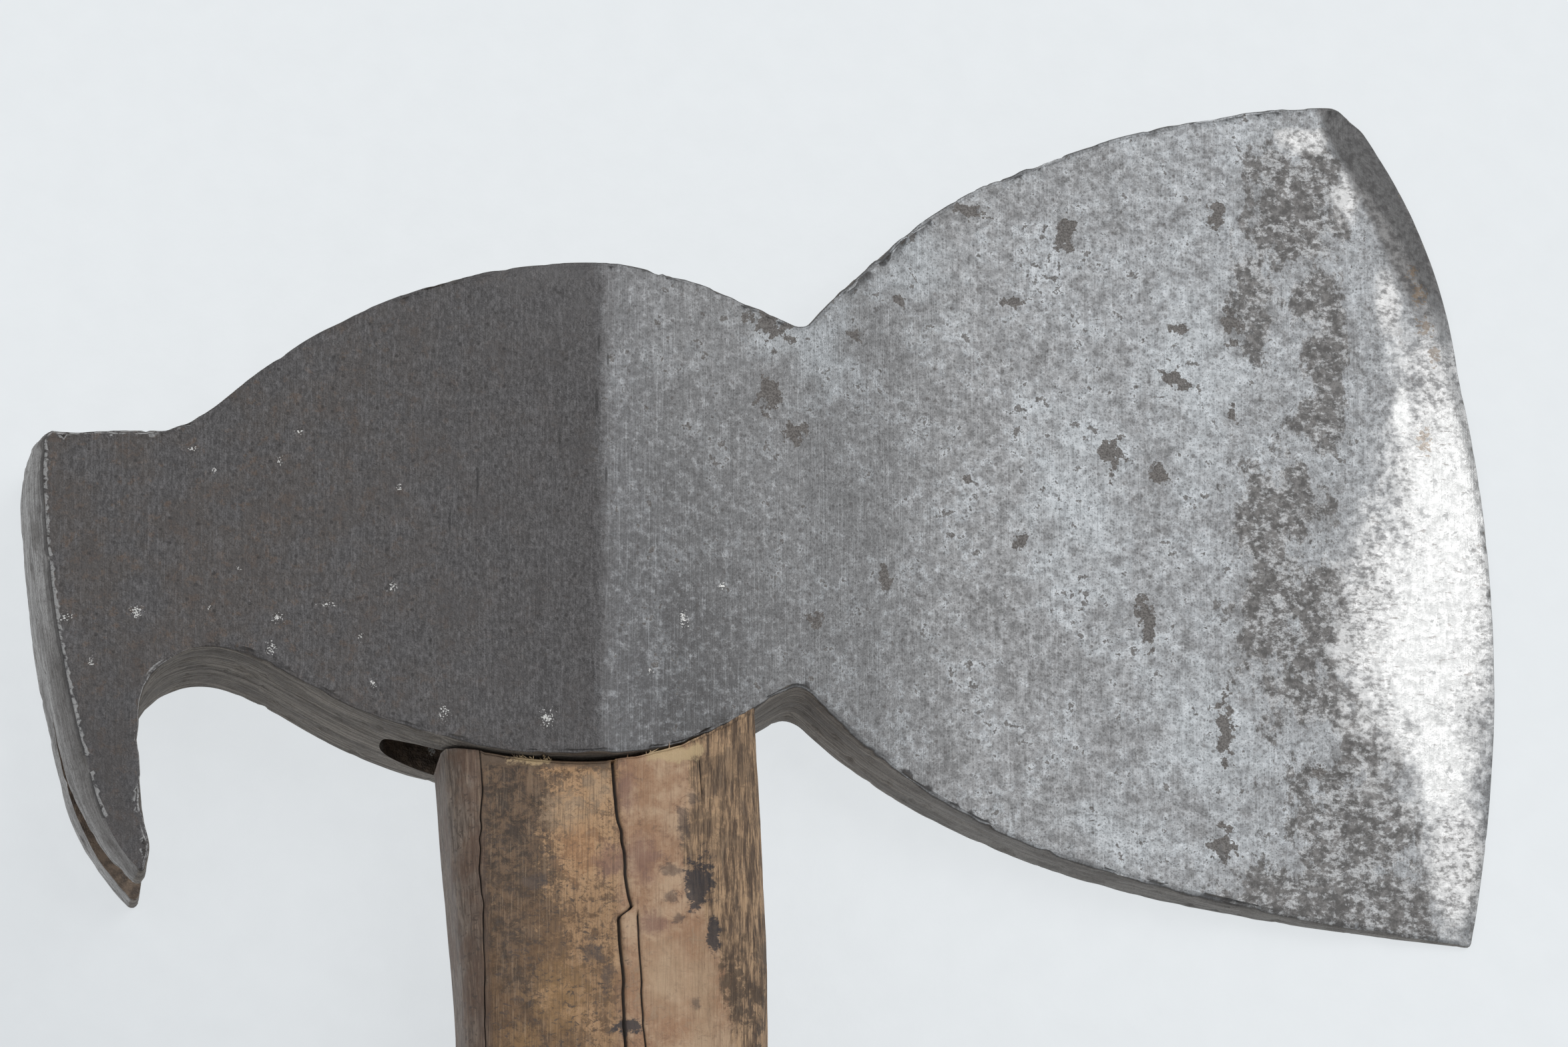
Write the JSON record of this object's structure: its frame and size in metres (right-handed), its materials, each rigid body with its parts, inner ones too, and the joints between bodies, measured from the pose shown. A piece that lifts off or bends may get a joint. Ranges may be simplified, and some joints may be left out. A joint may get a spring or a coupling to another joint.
{
  "type": "claw broad hatchet",
  "caption": "Antique hatchet: broad bevelled blade, nail-pulling claw on the poll, forged head wedged onto a curved wooden handle.",
  "frame": {"origin": "middle of the eye, on the plane of the head's flat side", "axes": "+X from the claw to the cutting edge, +Y up out of the handle through the eye to the top of the head, +Z away from the flat side, out of the bevelled side; the hatchet lies on its flat side"},
  "size_m": [0.1935, 0.4337, 0.0276],
  "materials": {
    "forged_iron": "old forged wrought iron, brown-grey patina with fine rust pitting and grinding scratches",
    "bit_steel": "worn steel, grey with dark pits, brown stains and a bright rubbed strip behind the edge",
    "handle_wood": "dry weathered hardwood, ochre and grimy brown, with cracks along the grain and dark iron stains",
    "wedge_wood": "dry unfinished hardwood end grain",
    "wedge_steel": "rusted mild steel"
  },
  "bodies": {
    "root": {"head_body": "forged_iron", "cutting_bit": "bit_steel", "handle": "handle_wood", "wooden_wedge": "wedge_wood", "steel_wedge_rear": "wedge_steel", "steel_wedge_front": "wedge_steel"}
  },
  "joints": []
}
